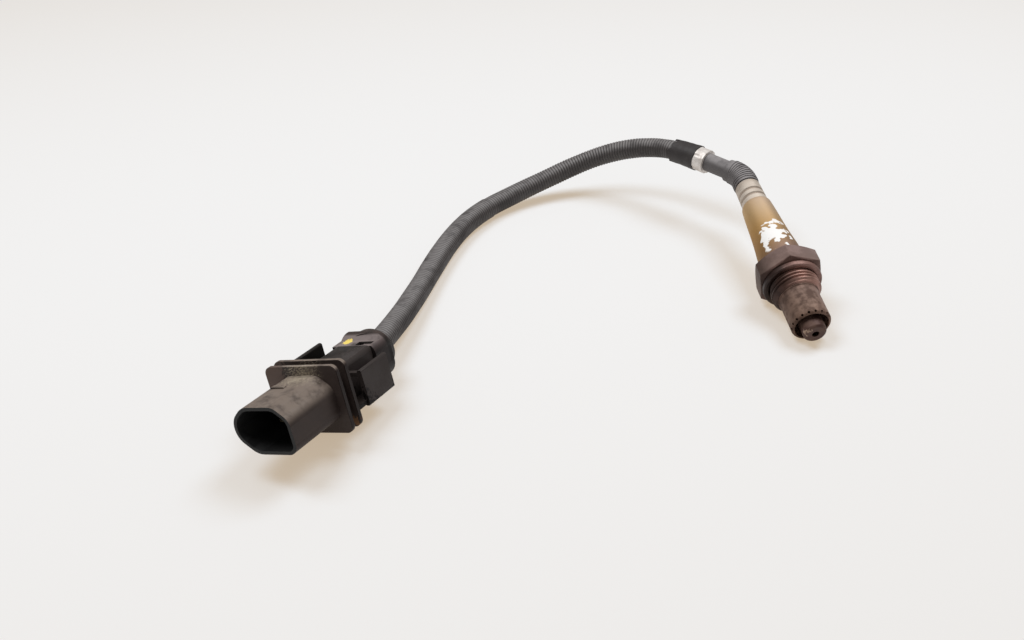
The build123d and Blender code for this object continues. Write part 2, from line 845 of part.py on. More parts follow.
with BuildPart() as wire_seal:
    seal = rounded_box(
        cavity_width - 2 * fit_gap,
        cavity_bottom + fit_gap,
        cavity_top - fit_gap,
        body_edge_round / 2,
        body_end_depth,
    )
    extrude(to_extrude=seal, amount=body_end_depth - seal_front_depth)
    with BuildSketch(plug.offset(-body_end_depth)):
        with pin_places:
            Circle(plug_lead_diameter / 2 + rubber_play)
    extrude(amount=body_end_depth - seal_front_depth, mode=Mode.SUBTRACT)
finish(wire_seal.part, "wire_seal")

lead_end_depth = hose_entry_depth - hose_end_clearance

with BuildPart() as plug_leads:
    for place in pin_places.local_locations:
        x, y = place.position.X, place.position.Y
        with BuildLine() as lead_path:
            FilletPolyline(
                plug_point(x, y, pin_tail_depth + fit_gap),
                plug_point(x, y, body_end_depth + plug_lead_straight),
                plug_point(x * plug_lead_gather, y * plug_lead_gather, lead_end_depth),
                radius=plug_lead_bend_radius,
            )
        with BuildSketch(plug.offset(-pin_tail_depth - fit_gap)):
            with Locations((x, y)):
                Circle(plug_lead_diameter / 2)
        sweep(path=lead_path.wires()[0])
finish(plug_leads.part, "plug_leads")

# ------------------------------------------------------------------ rear cap and hose collar
# The cap's outlet is turned a little so that the hose leaves it in line with its last run.
# The latch recess is in one half of the cap's top, towards the plug's +X side.
cap_front_depth = body_end_depth + fit_gap
cap_rim_depth = cap_end_depth - cap_rim_length
hollow_end_depth = hose_entry_depth - hose_end_clearance
outlet_lead_in = 2 * hose_end_clearance
rim_lead_in = cap_rim_depth - hose_entry_depth - cap_wall
latch_reach = body_half - cap_wall
outlet = Plane(origin=hose_entry, z_dir=route[-2] - hose_entry)
hose_bore_radius = hose_diameter / 2 + fit_gap
collar_radius = hose_bore_radius + collar_wall

with BuildPart() as rear_cap:
    with BuildSketch(plug_profile):
        with BuildLine():
            Polyline(
                (cap_front_depth, cap_bottom),
                (cap_front_depth, cap_low_top),
                (cap_ramp_depth, cap_low_top),
                (cap_ramp_depth + cap_ramp_length, cap_top),
                (cap_rim_depth, cap_top),
                (cap_rim_depth, cap_bottom),
                close=True,
            )
        make_face()
    extrude(amount=cap_width / 2, both=True)
    extrude(
        to_extrude=cap_outline(cap_end_depth),
        amount=cap_end_depth,
        mode=Mode.INTERSECT,
    )
    with BuildSketch(outlet.offset(rim_lead_in)):
        Circle(cap_rim_diameter / 2)
    extrude(amount=cap_end_depth - hose_entry_depth - rim_lead_in)
    with BuildSketch(plug_profile):
        with Locations((latch_depth, cap_low_top)):
            Rectangle(latch_length, 2 * latch_sink)
    extrude(amount=latch_reach, mode=Mode.SUBTRACT)
    hollow = rounded_box(
        cap_width - 2 * cap_wall,
        cap_bottom + cap_wall,
        cap_low_top - latch_sink - cap_wall,
        cap_foot_round - cap_wall,
        hollow_end_depth,
    )
    extrude(to_extrude=hollow, amount=hollow_end_depth - cap_front_depth, mode=Mode.SUBTRACT)
    with BuildSketch(outlet.offset(-outlet_lead_in)):
        Circle(hose_bore_radius)
    extrude(amount=cap_end_depth, mode=Mode.SUBTRACT)
    with BuildSketch(outlet.offset(-outlet_lead_in)):
        Circle(collar_radius + fit_gap)
    extrude(amount=outlet_lead_in + collar_length + fit_gap, mode=Mode.SUBTRACT)
finish(rear_cap.part, "rear_cap")

with BuildPart() as hose_collar:
    with BuildSketch(outlet):
        Circle(collar_radius)
        Circle(hose_bore_radius, mode=Mode.SUBTRACT)
    extrude(amount=collar_length)
finish(hose_collar.part, "hose_collar")
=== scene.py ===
# %% [markdown]
# # A wideband exhaust oxygen sensor
#
# This lesson dresses a imported CAD model of a used oxygen sensor. The CAD gives every piece its
# place. Here the pieces get the forms and finishes that a plain solid leaves out: the rolled
# thread, the fine ribs of the hose, heat tint, soot, dust and dabs of paint, and painted light and
# shade.

# %% Load the imported model
import json
import math

import bmesh
import bpy
from mathutils import Matrix, Vector, noise


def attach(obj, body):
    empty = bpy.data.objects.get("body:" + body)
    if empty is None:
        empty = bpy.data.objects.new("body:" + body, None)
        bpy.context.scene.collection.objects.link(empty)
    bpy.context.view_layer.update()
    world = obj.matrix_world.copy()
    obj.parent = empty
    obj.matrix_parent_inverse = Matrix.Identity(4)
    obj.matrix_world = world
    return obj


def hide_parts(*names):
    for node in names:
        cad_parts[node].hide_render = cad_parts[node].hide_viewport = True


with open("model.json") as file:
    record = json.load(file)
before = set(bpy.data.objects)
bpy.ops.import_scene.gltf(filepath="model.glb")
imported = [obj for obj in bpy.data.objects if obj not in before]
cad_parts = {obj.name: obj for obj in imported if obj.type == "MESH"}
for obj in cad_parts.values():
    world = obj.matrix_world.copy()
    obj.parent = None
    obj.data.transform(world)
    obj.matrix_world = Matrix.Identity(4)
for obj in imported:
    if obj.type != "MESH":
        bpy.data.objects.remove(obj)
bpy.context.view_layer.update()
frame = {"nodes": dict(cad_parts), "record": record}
nodes = frame["nodes"]
mounts = {mount["name"]: mount for mount in frame["record"]["mounts"]}
MM = 0.001
print(len(nodes), "CAD nodes loaded")

# %% [markdown]
# ## Camera
#
# The camera looks down on the sensor from the front, a little from its left. Azimuth, elevation
# and roll are turned one after another into one matrix, in the way that a tripod's head turns.

# %% Place the camera
camera_place = Vector((-147.56, -341.42, 215.86)) * MM
camera_azimuth = math.radians(-8.18)
camera_elevation = math.radians(33.23)
camera_roll = math.radians(0.73)
focal_pixels = 1080.0
picture_width = 1024.0
sensor_width = 36.0
near_clip, far_clip = 0.01, 20

camera_data = bpy.data.cameras.new("camera")
camera_data.sensor_width = sensor_width
camera_data.lens = focal_pixels * sensor_width / picture_width
camera_data.clip_start = near_clip
camera_data.clip_end = far_clip
camera = bpy.data.objects.new("camera", camera_data)
bpy.context.scene.collection.objects.link(camera)
camera.matrix_world = (
    Matrix.Translation(camera_place)
    @ Matrix.Rotation(camera_azimuth, 4, "Z")
    @ Matrix.Rotation(math.pi / 2 - camera_elevation, 4, "X")
    @ Matrix.Rotation(-camera_roll, 4, "Z")
)
bpy.context.scene.camera = camera
print("lens", round(camera_data.lens, 2), "mm")

# %% [markdown]
# ## Helpers for meshes
#
# Every piece ends as one mesh object at the origin, with its place in its vertices. `publish`
# does that for each of them: it turns the normals outwards, smooths the faces, keeps the sharp
# edges sharp and hooks the piece to the body.

# %% Turn a bmesh into a finished piece
sharp_angle = math.radians(34)


def publish(name, bm, matrix=None, replaced=(), sharp=sharp_angle):
    """Make a piece of a bmesh and let it ride on the body."""
    if matrix is not None:
        bmesh.ops.transform(bm, matrix=matrix, verts=bm.verts)
    bmesh.ops.recalc_face_normals(bm, faces=bm.faces)
    for face in bm.faces:
        face.smooth = True
    for edge in bm.edges:
        edge.smooth = len(edge.link_faces) == 2 and edge.calc_face_angle(0) < sharp
    mesh = bpy.data.meshes.new(name)
    bm.to_mesh(mesh)
    bm.free()
    piece = bpy.data.objects.new(name, mesh)
    bpy.context.scene.collection.objects.link(piece)
    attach(piece, "root")
    if replaced:
        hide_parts(*replaced)
    print(name, len(mesh.polygons), "faces")
    return piece


def frame_matrix(place, along, side):
    """Matrix that puts local Z along a direction and local X near a side."""
    z = Vector(along).normalized()
    x = Vector(side)
    x = (x - z * x.dot(z)).normalized()
    matrix = Matrix((x, z.cross(x), z)).transposed().to_4x4()
    matrix.translation = place
    return matrix


# %% [markdown]
# ## Two frames
#
# The head is a turned part, so it is drawn round its own axis: local Z runs to the nose, and a
# place on it is a "station" in front of the ring's seat. The plug has a frame of its own too.
# Their places and axes come from the mounts that the CAD states. A mount has no roll, so the
# plug's side is given as a direction.

# %% The frames of the head and of the plug
thread_middle_station = 4.95 * MM
nose = Vector(mounts["thread"]["axis"]).normalized()
seat = Vector(mounts["thread"]["pos_m"]) - nose * thread_middle_station
head = frame_matrix(seat, nose, (1, 0, 0))

plug_socket_length = 22.0 * MM
plug_mouth = Vector(mounts["plug_socket"]["axis"]).normalized()
plug_origin = Vector(mounts["plug_socket"]["pos_m"]) - plug_mouth * plug_socket_length
plug_side = Vector((0.809, -0.509, 0.295)).normalized()
plug = frame_matrix(plug_origin, plug_mouth, plug_side)
print("head dips", round(math.degrees(math.asin(-nose.z)), 2), "degrees")

# %% [markdown]
# ## The hose
#
# The hose leaves the boot, turns over and drops to the surface, and runs on it to the plug.
# Its line is one NURBS curve through listed control points. The order is set after the points,
# because a spline that has no points yet falls back to straight runs.

# %% The hose's own line
hose_route = [
    (-9.6, 48.7, 26.4),
    (-16.9, 58.8, 26.8),
    (-24.5, 68.6, 25.2),
    (-35.0, 76.5, 22.1),
    (-46.7, 81.1, 17.7),
    (-59.2, 81.9, 12.9),
    (-72.6, 79.1, 8.6),
    (-86.8, 73.2, 5.8),
    (-100.4, 63.9, 4.8),
    (-111.6, 50.7, 4.5),
    (-120.6, 33.8, 4.4),
    (-128.2, 15.5, 4.4),
    (-135.7, -3.6, 5.2),
    (-143.2, -22.9, 7.4),
    (-153.4, -44.8, 10.4),
]
print(len(hose_route), "control points")

# %% Read a smooth line back from Blender
spline_steps = 48


def spline_points(name, route):
    """Points of a smooth NURBS line with these control points, read back from Blender."""
    curve = bpy.data.curves.new(name, "CURVE")
    curve.dimensions = "3D"
    spline = curve.splines.new("NURBS")
    spline.points.add(len(route) - 1)
    for point, place in zip(spline.points, route):
        point.co = (*(Vector(place) * MM), 1)
    spline.order_u = 3
    spline.use_endpoint_u = True
    spline.resolution_u = spline_steps
    holder = bpy.data.objects.new(name, curve)
    bpy.context.scene.collection.objects.link(holder)
    bpy.context.view_layer.update()
    mesh = bpy.data.meshes.new_from_object(holder)
    points = [vertex.co.copy() for vertex in mesh.vertices]
    bpy.data.objects.remove(holder)
    bpy.data.meshes.remove(mesh)
    return points


# %% [markdown]
# A tube needs more than points: at each distance it needs a frame that doesn't twist, or its
# ribs and seams would wind round it. So each point's side is carried over from the one before
# it and only made square to the line again.

# %% Ask a line for the frame at a distance


class Line:
    """A line of points that can be asked for the place and the frame at a distance."""

    def __init__(self, points):
        self.points = points
        self.distances = [0.0]
        for before, after in zip(points, points[1:]):
            self.distances.append(self.distances[-1] + (after - before).length)
        self.length = self.distances[-1]
        self.sides = []
        upright = Vector((0, 0, 1))
        for index in range(len(points)):
            along = self.tangent(index)
            upright = (upright - along * upright.dot(along)).normalized()
            self.sides.append(upright.copy())

    def tangent(self, index):
        """Direction of the line at one of its points."""
        low, high = max(index - 1, 0), min(index + 1, len(self.points) - 1)
        return (self.points[high] - self.points[low]).normalized()

    def matrix(self, distance):
        """Frame at a distance: Z along the line and X carried along without twist."""
        index = 0
        while index < len(self.points) - 2 and self.distances[index + 1] < distance:
            index += 1
        step = self.distances[index + 1] - self.distances[index]
        share = (distance - self.distances[index]) / step
        place = self.points[index].lerp(self.points[index + 1], share)
        along = self.tangent(index).lerp(self.tangent(index + 1), share)
        return frame_matrix(place, along, self.sides[index].lerp(self.sides[index + 1], share))


hose_line = Line(spline_points("hose_line", hose_route))
print("hose", round(hose_line.length / MM, 1), "mm long")

# %% [markdown]
# The conduit is rolled from a flat grid, as a real one is from a strip: each row of the grid
# becomes a ring round the line. A function gives the radius at each place, so ribs, laps and
# dents are all geometry. The grid's own place becomes the UV, in millimetres along the tube, so
# that a finish can follow the ribs.

# %% Roll a grid round a line
same_point = 1e-6


def rolled_tube(line, start, end, radius_at, rows, around):
    """A closed tube round a line, from a grid; radius_at takes a distance and a turn."""
    bm = bmesh.new()
    bmesh.ops.create_grid(bm, x_segments=around, y_segments=rows, size=0.5)
    uv_layer = bm.loops.layers.uv.new("UVMap")
    for face in bm.faces:
        for loop in face.loops:
            share = loop.vert.co.y + 0.5
            run = (start + (end - start) * share) / MM
            loop[uv_layer].uv = (loop.vert.co.x + 0.5, run)
    rings = {}
    for vertex in bm.verts:
        row = round((vertex.co.y + 0.5) * rows)
        turn = (vertex.co.x + 0.5) * 2 * math.pi
        distance = start + (end - start) * row / rows
        if row not in rings:
            rings[row] = line.matrix(distance)
        radius = radius_at(distance, turn)
        vertex.co = rings[row] @ Vector((radius * math.cos(turn), radius * math.sin(turn), 0))
    bmesh.ops.remove_doubles(bm, verts=bm.verts, dist=same_point)
    rims = [edge for edge in bm.edges if edge.is_boundary]
    bmesh.ops.holes_fill(bm, edges=rims, sides=0)
    return bm


# %% [markdown]
# The hose is a fine-ribbed plastic conduit. Its ribs could be a bump in the material, but then
# its outline would stay smooth, so they are in the radius: narrow grooves between round crests,
# with a little noise because an old hose is never quite even. It is slackest near the boot.

# %% The ribbed hose
hose_crest_radius = 4.3 * MM
rib_pitch = 1.25
rib_depth = 0.26 * MM
rows_per_rib = 6
hose_around = 40
wander_size = 0.16 * MM
wander_scale = 55.0
seam_distance = 110 * MM
seam_step = 0.22 * MM
slack_distance = 45 * MM
slack_size = 0.5 * MM
slack_fineness = 2.6
rib_sharp_angle = math.radians(80)


def hose_radius(distance, turn):
    """Crests with narrow grooves, and the slack unevenness of an old hose."""
    groove = (0.5 - 0.5 * math.cos(distance / MM / rib_pitch * 2 * math.pi)) ** 2
    spot = Vector((distance * wander_scale, math.cos(turn), math.sin(turn)))
    radius = hose_crest_radius - rib_depth * groove + wander_size * noise.noise(spot)
    slack = max(0.0, 1 - distance / slack_distance)
    radius += slack_size * slack * noise.noise(spot * slack_fineness)
    return radius - (seam_step if distance < seam_distance else 0)


hose_rows = int(hose_line.length / MM / rib_pitch * rows_per_rib)
hose_mesh = rolled_tube(hose_line, 0, hose_line.length, hose_radius, hose_rows, hose_around)
hose = publish(
    "hose_conduit", hose_mesh, replaced=["hose"], sharp=rib_sharp_angle
)

# %% [markdown]
# ## The shrunk sleeve and the marking band
#
# Where the hose meets the boot's tail, a sleeve is shrunk over the conduit. It widens to the
# marking band, and its free end is ragged: past a wavy limit the surface dips under the
# conduit, so the conduit itself cuts the edge. That is simpler than trimming the mesh.

# %% The shrunk sleeve on the hose's end
wrap_start = 4.5 * MM
wrap_end = 18.4 * MM
wrap_start_radius = 5.2 * MM
wrap_end_radius = 4.7 * MM
wrap_wrinkle = 0.14 * MM
wrinkle_scale = 380
wrinkle_turns = 1.3
tongue_turns = 1.7
tongue_seed = 4.0
tongue_reach = 0.9
ragged_run = 3.6 * MM
dip_run = 0.5 * MM
dip_depth = 1.1 * MM


def wrap_radius(distance, turn):
    """Wide at the band, drawn in towards the hose, with soft wrinkles and a ragged end."""
    share = (distance - wrap_start) / (wrap_end - wrap_start)
    across, up = math.cos(turn), math.sin(turn)
    spot = Vector((distance * wrinkle_scale, across * wrinkle_turns, up * wrinkle_turns))
    radius = wrap_start_radius + (wrap_end_radius - wrap_start_radius) * share
    radius += wrap_wrinkle * noise.noise(spot)
    tongue = noise.noise(Vector((across * tongue_turns, up * tongue_turns, tongue_seed)))
    limit = wrap_end - ragged_run * (0.5 + tongue_reach * tongue)
    dip = min(max((distance - limit) / dip_run, 0.0), 1.0)
    return radius - dip_depth * dip


wrap_rows, wrap_around = 96, 72
wrap_mesh = rolled_tube(hose_line, wrap_start, wrap_end, wrap_radius, wrap_rows, wrap_around)
wrap = publish("hose_wrap", wrap_mesh, replaced=["hose_end_wrap"])

# %% [markdown]
# The marking band is a strip of metallised foil, crumpled and lapped round the joint of sleeve
# and tail. It lies on a straight stretch, so its line has three points, and the crumples and
# the lap are again differences of the radius.

# %% The folded band
band_half = 2.3 * MM
band_shift = 2.1 * MM
band_radius = 4.85 * MM
band_crinkle = 0.3 * MM
crinkle_scale = 260
crinkle_turns = 4.5
lap_height = 0.14 * MM
lap_turn = 2.2
lap_cosine = 0.86
band_rows, band_around = 20, 72
hose_start = Vector(hose_route[0]) * MM
tail_direction = (Vector(hose_route[1]) - Vector(hose_route[0])).normalized()
band_middle = hose_start + tail_direction * band_shift
band_line = Line([band_middle + tail_direction * (band_half * reach) for reach in (-1, 0, 1)])


def band_radius_at(distance, turn):
    """A strip of foil that is crumpled across, with one lap along it."""
    across, up = math.cos(turn), math.sin(turn)
    spot = Vector((distance * crinkle_scale, across * crinkle_turns, up * crinkle_turns))
    lap = lap_height if math.cos(turn - lap_turn) > lap_cosine else 0.0
    return band_radius + lap + band_crinkle * noise.noise(spot)


band_mesh = rolled_tube(
    band_line, 0, band_line.length, band_radius_at, band_rows, band_around
)
band = publish("foil_band", band_mesh, replaced=["marking_band"])

# %% [markdown]
# ## The hexagon body
#
# A sensor body is turned from hexagon bar and its thread is rolled. The mesh is made in the
# same order: spin a blank, mill its six flats with cutting planes, and wind a ridge round the
# shank. A subdivided cylinder would give neither the curved corners where the 30 degree
# chamfer meets the flats nor the run-out of the thread.

# %% Spin a half section
same_place = 1e-7


def spun(points, steps=120):
    """Closed solid of revolution round local Z, from (station, radius) points in millimetres."""
    bm = bmesh.new()
    ring = [bm.verts.new((radius * MM, 0, station * MM)) for station, radius in points]
    chain = [bm.edges.new(pair) for pair in zip(ring, ring[1:] + ring[:1])]
    bmesh.ops.spin(
        bm,
        geom=ring + chain,
        cent=(0, 0, 0),
        axis=(0, 0, 1),
        angle=2 * math.pi,
        steps=steps,
        use_merge=True,
    )
    bmesh.ops.remove_doubles(bm, verts=bm.verts, dist=same_place)
    return bm


# %% Sizes of the hexagon body, in millimetres
hex_flats = 22.0
hex_length = 7.5
hex_roll = math.radians(12.7)
hex_corner = hex_flats / 2 / math.cos(math.pi / 6)
chamfer_run = (hex_corner - hex_flats / 2) * math.tan(math.pi / 6)
shank_length = 8.2
crest_radius = 9.0
thread_pitch = 1.5
thread_depth_share = 0.61
root_radius = crest_radius - thread_depth_share * thread_pitch
relief_radius = 8.5
thread_start = 2.7
spigot_radius = 7.2
spigot_end = -12.5
element_bore = 5.9
nose_bore = 3.8
bore_step = 3.4
print("corners at", round(hex_corner, 2), "mm, thread root at", round(root_radius, 2), "mm")

# %% Turn the blank
face_round, face_round_depth = 0.3, 0.15
chamfer_overshoot = 0.05
blank_oversize = 0.01
shank_chamfer = 0.5
relief_slope = 0.4
blank_steps = 144

body_mesh = spun(
    [
        (0.0, relief_radius),
        (0.0, hex_flats / 2 - face_round),
        (-face_round_depth, hex_flats / 2),
        (-chamfer_run - chamfer_overshoot, hex_corner + blank_oversize),
        (chamfer_run + chamfer_overshoot - hex_length, hex_corner + blank_oversize),
        (face_round_depth - hex_length, hex_flats / 2),
        (-hex_length, hex_flats / 2 - face_round),
        (-hex_length, spigot_radius),
        (spigot_end, spigot_radius),
        (spigot_end, element_bore),
        (bore_step, element_bore),
        (bore_step, nose_bore),
        (shank_length, nose_bore),
        (shank_length, root_radius - shank_chamfer),
        (shank_length - shank_chamfer, root_radius),
        (thread_start, root_radius),
        (thread_start - relief_slope, relief_radius),
    ],
    steps=blank_steps,
)
print("blank of", len(body_mesh.faces), "faces")

# %% Mill the six flats
for side in range(6):
    angle = hex_roll + math.pi / 2 + (side + 0.5) * math.pi / 3
    outward = Vector((math.cos(angle), math.sin(angle), 0))
    cut = bmesh.ops.bisect_plane(
        body_mesh,
        geom=body_mesh.verts[:] + body_mesh.edges[:] + body_mesh.faces[:],
        plane_co=outward * (hex_flats / 2 * MM),
        plane_no=outward,
        clear_outer=True,
    )
    rim = [item for item in cut["geom_cut"] if isinstance(item, bmesh.types.BMEdge)]
    bmesh.ops.holes_fill(body_mesh, edges=rim, sides=0)
print("milled to", len(body_mesh.faces), "faces")

# %% [markdown]
# Spanners and handling round the edges of the hexagon. The bevel takes the sharp edges far from
# the axis, which are the hexagon's own, and leaves the bores and the shank as they were turned.

# %% Wear the hexagon's edges
edge_wear = 0.22 * MM
worn_angle = math.radians(20)
worn_radius = 10.9 * MM
milled = [
    edge
    for edge in body_mesh.edges
    if len(edge.link_faces) == 2
    and edge.calc_face_angle(0) > worn_angle
    and min(vertex.co.xy.length for vertex in edge.verts) > worn_radius
]
bmesh.ops.bevel(
    body_mesh,
    geom=milled,
    offset=edge_wear,
    segments=2,
    profile=0.5,
    affect="EDGES",
    material=-1,
    clamp_overlap=True,
)
print("wore", len(milled), "edges")

# %% [markdown]
# A rolled thread is a ridge wound round the shank. One four-sided face is spun, and it rises by
# one pitch in each turn. Towards the nose its crest is cut by a cone, so the thread fades out.
# It stays a shell of its own inside the same mesh, because the two overlap as solids.

# %% The ridge and its turns
crest_half_width = 0.22
run_out = thread_pitch * 0.75
thread_turns = (shank_length - thread_start - run_out) / thread_pitch
steps_per_turn = 72
ridge_middle = thread_start + thread_pitch * 0.4
ridge_half = thread_pitch * 0.5
ridge_foot = root_radius - 0.1
print(round(thread_turns, 2), "turns of thread")

# %% Wind the ridge
thread_mesh = bmesh.new()
ridge_profile = [
    (ridge_middle - ridge_half, ridge_foot),
    (ridge_middle - crest_half_width, crest_radius),
    (ridge_middle + crest_half_width, crest_radius),
    (ridge_middle + ridge_half, ridge_foot),
]
ridge = thread_mesh.faces.new(
    [thread_mesh.verts.new((radius * MM, 0, station * MM)) for station, radius in ridge_profile]
)
bmesh.ops.spin(
    thread_mesh,
    geom=[ridge],
    cent=(0, 0, 0),
    axis=(0, 0, 1),
    dvec=(0, 0, thread_pitch * MM / steps_per_turn),
    angle=2 * math.pi * thread_turns,
    steps=int(steps_per_turn * thread_turns),
)
print("ridge of", len(thread_mesh.faces), "faces")

# %% Fade the ridge and join it to the body
lead_in_start = (shank_length - thread_pitch) * MM
lead_in_slope = 0.8
for vertex in thread_mesh.verts:
    limit = crest_radius * MM - max(0.0, vertex.co.z - lead_in_start) * lead_in_slope
    radius = vertex.co.xy.length
    if radius > limit:
        vertex.co.xy *= limit / radius
bmesh.ops.recalc_face_normals(thread_mesh, faces=thread_mesh.faces)
thread_part = bpy.data.meshes.new("thread_part")
thread_mesh.to_mesh(thread_part)
thread_mesh.free()
body_mesh.from_mesh(thread_part)
bpy.data.meshes.remove(thread_part)
body = publish("hexagon_body", body_mesh, head, ["sensor_body"])

# %% [markdown]
# ## The flared sleeve
#
# The sleeve behind the hexagon is drawn from a tube, so it has no corners: it widens in one
# long soft flare towards the hexagon. It is one spun half section again, the outline out and
# the bore back, so that its wall has a real thickness at its rear mouth.

# %% Spin the sleeve
sleeve_outline = [
    (-7.6, 8.3),
    (-12.5, 8.15),
    (-16.0, 7.85),
    (-19.5, 7.45),
    (-23.0, 7.1),
    (-27.0, 6.8),
    (-31.0, 6.55),
    (-36.0, 6.25),
    (-40.4, 5.9),
    (-41.2, 5.8),
    (-41.6, 5.6),
]
sleeve_bore = [(-41.6, 5.38), (-39.2, 5.38), (-17.8, 6.0), (-13.2, 7.28), (-7.6, 7.28)]
sleeve_steps = 96
sleeve_mesh = spun(sleeve_outline + sleeve_bore, steps=sleeve_steps)
sleeve = publish("flared_sleeve", sleeve_mesh, head, ["protective_sleeve"])

# %% [markdown]
# ## Softer edges on the plug
#
# Moulded plastic has no knife edges. The CAD mesh keeps its shape, and two modifiers round its
# edges: a weld, because a CAD mesh has its own points for every face, and a narrow bevel.

# %% Round the moulded edges
edge_rounds = {"plug_housing": 0.22, "rear_cap": 0.3, "sealing_ring": 0.1}
weld_distance = 0.002 * MM
rounded_angle = math.radians(40)
for node_name, width in edge_rounds.items():
    weld = nodes[node_name].modifiers.new("weld", "WELD")
    weld.merge_threshold = weld_distance
    bevel = nodes[node_name].modifiers.new("edge_round", "BEVEL")
    bevel.width = width * MM
    bevel.segments = 2
    bevel.limit_method = "ANGLE"
    bevel.angle_limit = rounded_angle
    bevel.harden_normals = False
print("rounded", len(edge_rounds), "pieces")

# %% [markdown]
# ## Finishes
#
# Each finish is a Principled surface whose colour starts from two tones of noise and then goes
# through layers: a tint by the station along an axis, for heat tint and for painted shade, dust
# that lies on what faces up and also stands for painted light on the tops, and single dabs of paint
# and of painted light and shade. Every layer is a node group, so all the finishes share one recipe.

# %% Build the shared effects
COLOUR, NUMBER, VECTOR = "NodeSocketColor", "NodeSocketFloat", "NodeSocketVector"


def new_group(name, inputs, outputs):
    """Node group with named inputs and outputs."""
    group = bpy.data.node_groups.new(name, "ShaderNodeTree")
    for label, kind in inputs:
        group.interface.new_socket(name=label, in_out="INPUT", socket_type=kind)
    for label, kind in outputs:
        group.interface.new_socket(name=label, in_out="OUTPUT", socket_type=kind)
    return group, group.nodes.new("NodeGroupInput"), group.nodes.new("NodeGroupOutput")


def add_node(tree, kind, values=None, **settings):
    """Node with its settings and its input values."""
    node = tree.nodes.new("ShaderNode" + kind)
    for key, value in settings.items():
        setattr(node, key, value)
    for key, value in (values or {}).items():
        node.inputs[key].default_value = value
    return node


def mixed(tree, factor, first, second, blend="MIX"):
    """Colour mixed from two sockets by a third."""
    mix = add_node(tree, "Mix", data_type="RGBA", blend_type=blend)
    tree.links.new(factor, mix.inputs["Factor"])
    tree.links.new(first, mix.inputs["A"])
    tree.links.new(second, mix.inputs["B"])
    return mix.outputs["Result"]


def cloud(tree, scale, low, high, detail=5.0):
    """Smooth mask from noise in object space."""
    place = add_node(tree, "TexCoord")
    texture = add_node(tree, "TexNoise", {"Detail": detail, "Roughness": 0.6})
    ramp = add_node(tree, "MapRange", {"From Min": low, "From Max": high})
    ramp.interpolation_type = "SMOOTHSTEP"
    tree.links.new(place.outputs["Object"], texture.inputs["Vector"])
    if isinstance(scale, float):
        texture.inputs["Scale"].default_value = scale
    else:
        tree.links.new(scale, texture.inputs["Scale"])
    tree.links.new(texture.outputs["Fac"], ramp.inputs["Value"])
    return ramp.outputs["Result"]


def product(tree, first, second):
    """Product of two numbers."""
    times = add_node(tree, "Math", operation="MULTIPLY")
    tree.links.new(first, times.inputs[0])
    tree.links.new(second, times.inputs[1])
    return times.outputs[0]


# %% [markdown]
# Used steel and plastic are never one colour. Three groups cover most of it: blotches where the
# surface has stained unevenly, dust that settles on whatever faces up and also stands for painted
# light on the tops, and a dab round a place, whose edge is made ragged by noise, for paint, rust
# and rubbed spots, and for painted light and shade.

# %% Blotches
def blotch_group():
    """A colour broken up by noise towards a second colour."""
    group, inside, outside = new_group(
        "blotches",
        [("Colour", COLOUR), ("Blotch", COLOUR), ("Scale", NUMBER), ("Amount", NUMBER)],
        [("Colour", COLOUR), ("Mask", NUMBER)],
    )
    spots = cloud(group, inside.outputs["Scale"], 0.38, 0.66)
    mask = product(group, spots, inside.outputs["Amount"])
    tone = mixed(group, mask, inside.outputs["Colour"], inside.outputs["Blotch"])
    group.links.new(tone, outside.inputs["Colour"])
    group.links.new(mask, outside.inputs["Mask"])
    return group


# %% Dust
def dust_and_top_light_group():
    """Dust and specks on whatever faces up, which also stand for painted light on the tops."""
    group, inside, outside = new_group(
        "dust_and_top_light",
        [("Colour", COLOUR), ("Dust", COLOUR), ("Amount", NUMBER)],
        [("Colour", COLOUR)],
    )
    place = add_node(group, "TexCoord")
    split = add_node(group, "SeparateXYZ")
    steep, level = 0.35, 0.95
    facing = add_node(group, "MapRange", {"From Min": steep, "From Max": level})
    facing.interpolation_type = "SMOOTHSTEP"
    group.links.new(place.outputs["Normal"], split.inputs["Vector"])
    group.links.new(split.outputs["Z"], facing.inputs["Value"])
    amount = product(group, facing.outputs["Result"], inside.outputs["Amount"])
    patches = cloud(group, 210.0, 0.2, 0.56)
    mask = product(group, amount, patches)
    tone = mixed(group, mask, inside.outputs["Colour"], inside.outputs["Dust"])
    group.links.new(tone, outside.inputs["Colour"])
    return group


# %% Dabs
def dab_group():
    """A ragged dab round a place, for paint and stains and for painted light and shade."""
    group, inside, outside = new_group(
        "dab",
        [
            ("Colour", COLOUR),
            ("Paint", COLOUR),
            ("Centre", VECTOR),
            ("Radius", NUMBER),
            ("Ragged", NUMBER),
            ("Scale", NUMBER),
        ],
        [("Colour", COLOUR), ("Mask", NUMBER)],
    )
    place = add_node(group, "TexCoord")
    away = add_node(group, "VectorMath", operation="DISTANCE")
    group.links.new(place.outputs["Object"], away.inputs[0])
    group.links.new(inside.outputs["Centre"], away.inputs[1])
    share = add_node(group, "Math", operation="DIVIDE")
    group.links.new(away.outputs["Value"], share.inputs[0])
    group.links.new(inside.outputs["Radius"], share.inputs[1])
    ripple = cloud(group, inside.outputs["Scale"], 0.3, 0.7, detail=1.5)
    waver = product(group, ripple, inside.outputs["Ragged"])
    total = add_node(group, "Math", operation="ADD")
    group.links.new(share.outputs[0], total.inputs[0])
    group.links.new(waver, total.inputs[1])
    soft = 0.05
    fade = {"From Min": 1 - soft, "From Max": 1 + soft, "To Min": 1.0, "To Max": 0.0}
    edge = add_node(group, "MapRange", fade)
    group.links.new(total.outputs[0], edge.inputs["Value"])
    tone = mixed(group, edge.outputs["Result"], inside.outputs["Colour"], inside.outputs["Paint"])
    group.links.new(tone, outside.inputs["Colour"])
    group.links.new(edge.outputs["Result"], outside.inputs["Mask"])
    return group
